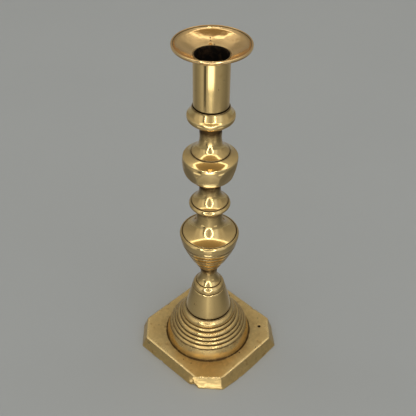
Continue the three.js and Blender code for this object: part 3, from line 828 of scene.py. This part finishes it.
# The set, arranged so that the brass mirrors about what it mirrors in the photo. The brightnesses come from
# the photo's averages by mirrored direction, rounded. It is busier than plain soft light.
# Soft boxes and screens as seen from the object: left, right, bottom and top edge in degrees (0 across is the
# photographer's side, positive to the right in the picture), softness, brightness, colour.
SET = [
    (-90, -58, 0, 52, 8, 0.50, NEUTRAL),
    (58, 94, 0, 52, 8, 0.46, NEUTRAL),
    (-62, 62, -20, 60, 7, 0.60, COOL),      # the white wall behind the photographer
    (9, 54, -4, 57, 4, 0.80, COOL),         # window side
    (-62, -43, 6, 44, 4, 0.72, NEUTRAL),
    (-29, -16, -22, 50, 3, 0.78, COOL),     # tall soft box
    (-42, -32, -60, 36, 2, 0.16, NEUTRAL),  # its stand
    (-12, 9, 30, 56, 4, 0.46, NEUTRAL),
    (-9, 7, 3, 33, 3, 0.42, NEUTRAL),       # the photographer
    (-62, 18, 56, 68, 4, 0.30, WARM),       # the gap below the ceiling panel
    (20, 76, 55, 67, 5, 0.74, NEUTRAL),
    (-60, 60, 76, 110, 5, 0.36, WARM),
    (140, 220, 28, 44, 4, 0.30, NEUTRAL),
    (-220, -140, 28, 44, 4, 0.30, NEUTRAL),
    (140, 220, 46, 64, 4, 0.55, NEUTRAL),
    (-220, -140, 46, 64, 4, 0.55, NEUTRAL),
    (106, 146, 52, 80, 6, 0.70, NEUTRAL),   # two ceiling lamps behind
    (-146, -104, 48, 78, 6, 0.70, NEUTRAL),
]
AMBIENT = [(-90, 0.27), (-30, 0.24), (0, 0.25), (12, 0.27), (30, 0.36), (50, 0.50), (90, 0.46)]
# across, distance, height, half sizes, half width of the tube, glow
RING_LIGHT = (-3, 0.47, 0.37, 0.225, 0.33, 0.010, 11.0)
HOOP = (0.79, 0.018, 2.6)           # a thin round tube overhead: height, half width, glow
BAR = (0.985, 0.174, 0.045, 2.4)    # a straight bar just behind it: its plane (forward, up), half width, glow
CLOTH = (0.44, 0.335, 0.20)         # the brown cloth inside the hoop, in front of the bar
# the low screen that stands round the set: direction, brightness of its upper and of its lower half
SCREEN_PLACE, SCREEN_TOP = 0.37, 0.075
SCREEN = [(-180, 0.30, 0.30), (-145, 0.30, 0.30), (-105, 0.19, 0.19), (-79, 0.27, 0.27), (-60, 0.45, 0.42),
          (-50, 0.45, 0.42), (-43, 0.10, 0.10), (-34, 0.06, 0.06), (-28, 0.60, 0.45), (-20, 0.75, 0.45),
          (-17, 2.40, 0.45), (-9, 2.40, 0.75), (3, 2.40, 0.80), (8, 2.40, 0.50), (12, 2.20, 0.45),
          (17, 0.90, 0.40), (26, 0.36, 0.34), (54, 0.30, 0.30), (75, 0.23, 0.23), (101, 0.18, 0.18),
          (137, 0.26, 0.26), (180, 0.30, 0.30)]
# light and dark cloth lying round the object: direction and brightness, fading into the floor near the foot
MAT = [(-180, 0.28), (-145, 0.24), (-115, 0.12), (-88, 0.20), (-65, 0.25), (-40, 0.31), (-14, 0.47),
       (-3, 0.68), (8, 0.53), (30, 0.36), (55, 0.27), (80, 0.17), (105, 0.12), (140, 0.22), (180, 0.28)]
FLOOR_GLOW = 0.24
MAT_Z, STRIP_Z, CARD_Z = 0.0008, 0.0012, 0.0015
CARDS, CARD_NEAR, CARD_FAR, CARD_STEPS, CARD_GLOW = [(-66, -38), (32, 58)], 0.255, 0.345, 7, 1.0
STRIP, STRIP_GLOW = [(0.054, -22), (0.054, 12), (0.067, 12), (0.067, -22)], 2.2      # reach, direction


def headings(degrees, ahead, right):
    """Level unit vectors at these angles from the photographer's side, positive to the picture's right."""
    turns = np.radians(degrees)
    return np.outer(np.cos(turns), ahead) + np.outer(np.sin(turns), right)


def bands(count, rows):
    """The faces between closed rows of count points each."""
    faces = []
    for start in range(0, (rows - 1) * count, count):
        for i in range(count):
            j = (i + 1) % count
            faces.append((start + i, start + j, start + count + j, start + count + i))
    return faces


def glowing(name, verts, faces, glow):
    """A self-lit piece of the set that only the brass mirrors."""
    mesh = bpy.data.meshes.new(name)
    mesh.from_pydata(verts, [], faces)
    mesh.attributes.new("glow", "FLOAT", "POINT").data.foreach_set("value", np.array(glow, np.float32))
    material = bpy.data.materials.new(name + "_glow")
    n = Nodes(material)
    out = n.add("ShaderNodeOutputMaterial")
    light = n.add("ShaderNodeEmission")
    n.link(n.attribute("glow"), light.inputs["Strength"])
    n.link(light.outputs[0], out.inputs[0])
    mesh.materials.append(material)
    obj = bpy.data.objects.new(name, mesh)
    bpy.context.scene.collection.objects.link(obj)
    obj.visible_camera = obj.visible_diffuse = obj.visible_shadow = False


def ring_light(ahead, right):
    """An upright oval tube in front of the object."""
    turn, distance, height, half_wide, half_high, half_width, glow = RING_LIGHT
    turn = math.radians(turn)
    out = ahead * math.cos(turn) + right * math.sin(turn)
    side = Vector((-out.y, out.x, 0))
    middle = out * distance + Vector((0, 0, height))
    up = Vector((0, 0, 1))
    count = 96
    verts = []
    for grow in (-half_width, half_width):
        for a in np.linspace(0, 2 * math.pi, count, endpoint=False):
            reach = side * (half_wide + grow) * math.cos(a) + up * (half_high + grow) * math.sin(a)
            verts.append(tuple(middle + reach))
    glowing("ring_light", verts, bands(count, 2), [glow] * len(verts))


def cards(ahead, right):
    """Two white cards lying in front, left and right, and a strip close to the front corner of the foot."""
    for side, (left, end) in enumerate(CARDS):
        way = headings(np.linspace(left, end, CARD_STEPS), ahead, right)
        verts = [(x * reach, y * reach, CARD_Z) for reach in (CARD_NEAR, CARD_FAR) for x, y, _ in way]
        faces = [(i, i + 1, CARD_STEPS + 1 + i, CARD_STEPS + i) for i in range(CARD_STEPS - 1)]
        glowing(f"card_{side}", verts, faces, [CARD_GLOW] * len(verts))
    way = headings([turn for _, turn in STRIP], ahead, right)
    verts = [(x * reach, y * reach, STRIP_Z) for (reach, _), (x, y, _) in zip(STRIP, way)]
    glowing("strip", verts, [(0, 1, 2, 3)], [STRIP_GLOW] * len(verts))


def mat(ahead, right):
    """What the brass mirrors in place of the visible floor, which it blends into near the foot."""
    table = np.array(MAT)
    degrees = np.arange(-180, 180, 1.5)
    value = np.interp(degrees, table[:, 0], table[:, 1])
    way = headings(degrees, ahead, right)
    verts, glow = [], []
    for reach, share in ((0.064, 0.0), (0.085, 0.5), (0.12, 0.9), (0.17, 1.0), (0.37, 1.0)):
        at = way * reach
        at[:, 2] = MAT_Z
        verts.append(at)
        glow.append(FLOOR_GLOW + (value - FLOOR_GLOW) * share)
    glowing("mat", np.concatenate(verts).tolist(), bands(len(degrees), len(verts)), np.concatenate(glow))


def screen(ahead, right):
    """A low curved screen of light and dark cloth round the set."""
    table = np.array(SCREEN)
    degrees = np.arange(-180, 180, 1.5)
    high = np.interp(degrees, table[:, 0], table[:, 1])
    low = np.interp(degrees, table[:, 0], table[:, 2])
    way = headings(degrees, ahead, right)
    rings = [(0.0, low), (0.40, low), (0.46, high), (1.0, high)]
    verts, value = [], []
    for share, strength in rings:
        at = way * SCREEN_PLACE
        at[:, 2] = share * SCREEN_TOP
        verts.append(at)
        value.append(strength)
    glowing("screen", np.concatenate(verts).tolist(), bands(len(degrees), len(rings)), np.concatenate(value))


def studio():
    """The light set as a world, drawn from its directions only. The camera itself sees a plain backdrop."""
    world = bpy.data.worlds.new("studio")
    world.use_nodes = True
    n = Nodes(world)
    out = n.add("ShaderNodeOutputWorld")
    ahead = Vector((CAMERA_PLACE.x, CAMERA_PLACE.y, 0)).normalized()
    right = Vector((-ahead.y, ahead.x, 0))
    way = n.add("ShaderNodeTexCoord").outputs["Generated"]

    def along(direction):
        node = n.add("ShaderNodeVectorMath", operation="DOT_PRODUCT")
        n.link(way, node.inputs[0])
        node.inputs[1].default_value = direction
        return node.outputs["Value"]

    forward, sideways, up = along(ahead), along(right), along((0, 0, 1))
    across = n.math("MULTIPLY", n.math("ARCTAN2", sideways, forward), 180 / math.pi)
    rise = n.math("MULTIPLY", n.math("ARCSINE", up), 180 / math.pi)

    level = AMBIENT[0][1]
    for (low, at_low), (high, at_high) in zip(AMBIENT, AMBIENT[1:]):
        level = n.math("ADD", level, n.ramp(rise, low, high, 0, at_high - at_low))
    grey = n.add("ShaderNodeCombineColor")
    for socket, share in zip(grey.inputs, NEUTRAL):
        n.link(n.math("MULTIPLY", level, share), socket)
    shade = grey.outputs[0]
    for left, end, bottom, top, soft, value, colour in SET:
        mask = n.ramp(across, left - soft, left + soft)
        mask = n.math("MULTIPLY", mask, n.ramp(across, end - soft, end + soft, 1, 0))
        mask = n.math("MULTIPLY", mask, n.ramp(rise, bottom - soft, bottom + soft))
        mask = n.math("MULTIPLY", mask, n.ramp(rise, top - soft, top + soft, 1, 0))
        shade = n.mix(mask, shade, (*[value * c for c in colour], 1))

    hoop_height, hoop_width, hoop_glow = HOOP
    bar_forward, bar_up, bar_width, bar_glow = BAR
    plane = n.math("MULTIPLY_ADD", forward, bar_forward, n.math("MULTIPLY", up, bar_up))
    inside = n.ramp(up, hoop_height - 0.02, hoop_height + 0.02)
    before = n.math("MULTIPLY", inside, n.ramp(plane, -0.03, 0.03))
    cloth = n.mix(n.ramp(up, hoop_height + 0.03, 0.98), (*CLOTH, 1), (*[0.6 * c for c in CLOTH], 1))
    shade = n.mix(before, shade, cloth)
    from_hoop = n.math("ABSOLUTE", n.math("SUBTRACT", up, hoop_height))
    hoop = n.ramp(from_hoop, 0.3 * hoop_width, 1.7 * hoop_width, 1, 0)
    hoop = n.math("MULTIPLY", hoop, n.ramp(plane, -0.06, 0.02))
    bar = n.ramp(n.math("ABSOLUTE", plane), 0.3 * bar_width, 1.7 * bar_width, 1, 0)
    bar = n.math("MULTIPLY", bar, inside)
    for mask, glow in ((hoop, hoop_glow), (bar, bar_glow)):
        shade = n.mix(mask, shade, (glow, 0.97 * glow, 0.9 * glow, 1))

    light = n.add("ShaderNodeBackground")
    n.link(shade, light.inputs["Color"])
    backdrop = n.add("ShaderNodeBackground")
    backdrop.inputs["Color"].default_value = BACKDROP
    seen = n.add("ShaderNodeLightPath").outputs["Is Camera Ray"]
    choice = n.add("ShaderNodeMixShader")
    n.link(seen, choice.inputs[0])
    n.link(light.outputs[0], choice.inputs[1])
    n.link(backdrop.outputs[0], choice.inputs[2])
    n.link(choice.outputs[0], out.inputs[0])
    bpy.context.scene.world = world
    screen(ahead, right)
    ring_light(ahead, right)
    cards(ahead, right)
    mat(ahead, right)


floor()
camera()
studio()
overhead = area_light("overhead", (0.1, -0.1, 1.1), (0, 0, 0), 0.9, 0.9, 0.8)
overhead.visible_glossy = False
bpy.context.scene.view_settings.view_transform = "Standard"
